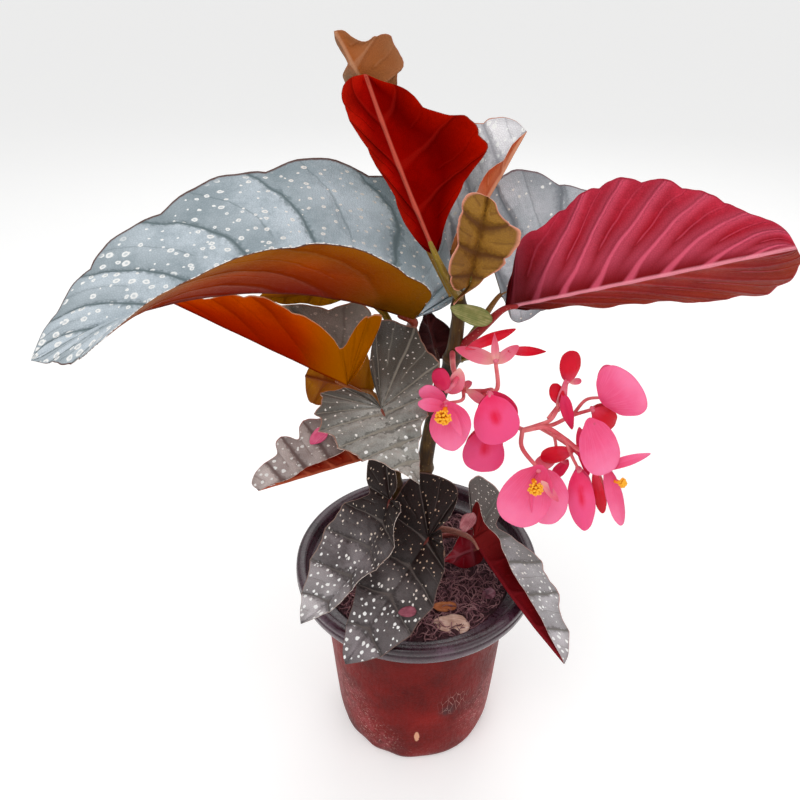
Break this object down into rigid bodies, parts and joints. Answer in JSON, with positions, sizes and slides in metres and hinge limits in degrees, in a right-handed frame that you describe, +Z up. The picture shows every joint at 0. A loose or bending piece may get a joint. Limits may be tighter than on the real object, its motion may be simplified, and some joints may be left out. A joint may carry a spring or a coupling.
{
  "type": "potted begonia",
  "caption": "Angel-wing begonia with folded, white-spotted leaves, red undersides and hanging pink flower clusters, growing in a round tapered plastic nursery pot.",
  "frame": {"origin": "centre of the pot's flat underside", "axes": "+Z up along the pot's axis; the flower clusters face -Y; the largest spotted leaf reaches out along -X"},
  "size_m": [0.3434, 0.2442, 0.4562],
  "materials": {
    "pot": "thin brick-red plastic, lightly scuffed, black inside",
    "soil": "moist coconut-fibre potting mix",
    "cane": "olive-brown cane skin with ringed nodes",
    "leaf_silver": "silver-green leaf with white spots, orange-brown underside",
    "leaf_dark": "dark green leaf with white spots",
    "leaf_red": "deep red leaf underside",
    "leaf_orange": "orange-brown leaf underside",
    "leaf_olive": "yellow-olive young leaf",
    "tepal": "satiny pink tepal",
    "flower_stalk": "salmon-red flower stalk",
    "stamen": "yellow-orange stamen tuft",
    "dry_bract": "dry papery bract"
  },
  "bodies": {
    "root": {"pot": "pot", "soil": "soil", "cane_main": "cane", "cane_left": "cane", "leaf_left_large": "leaf_silver", "leaf_upper_folded": "leaf_silver", "leaf_back_silver": "leaf_silver", "leaf_back_right": "leaf_silver", "leaf_front_mid": "leaf_silver", "leaf_lower_left": "leaf_silver", "leaf_bottom_right": "leaf_silver", "leaf_top_red": "leaf_red", "leaf_right_large": "leaf_red", "leaf_low_red": "leaf_red", "leaf_top_young": "leaf_orange", "leaf_left_orange": "leaf_orange", "leaf_left_under": "leaf_orange", "leaf_left_back": "leaf_olive", "leaf_young_frilled": "leaf_olive", "leaf_small_olive": "leaf_olive", "leaf_small_dark": "leaf_dark", "leaf_bottom_front": "leaf_dark", "leaf_bottom_left": "leaf_dark", "flower_stamens_left": "tepal", "flower_bud_left": "tepal", "flower_disc_upper": "tepal", "flower_disc_lower": "tepal", "flower_open_upper": "tepal", "flower_right_disc": "tepal", "flower_bud_top": "tepal", "flower_bud_red": "tepal", "flower_red_right": "tepal", "flower_large_right": "tepal", "flower_front": "tepal", "flower_hanging": "tepal", "flower_slender": "tepal", "flower_bud_low": "tepal", "stalk_left": "flower_stalk", "stamens_left": "stamen", "stamens_front": "stamen", "stamens_right": "stamen", "stipule_upper": "dry_bract", "stipule_dry": "dry_bract", "stipule_pink": "dry_bract", "bract_dry": "dry_bract", "bract_orange": "dry_bract", "petal_fallen_left": "tepal", "petal_fallen_front": "tepal"}
  },
  "joints": []
}
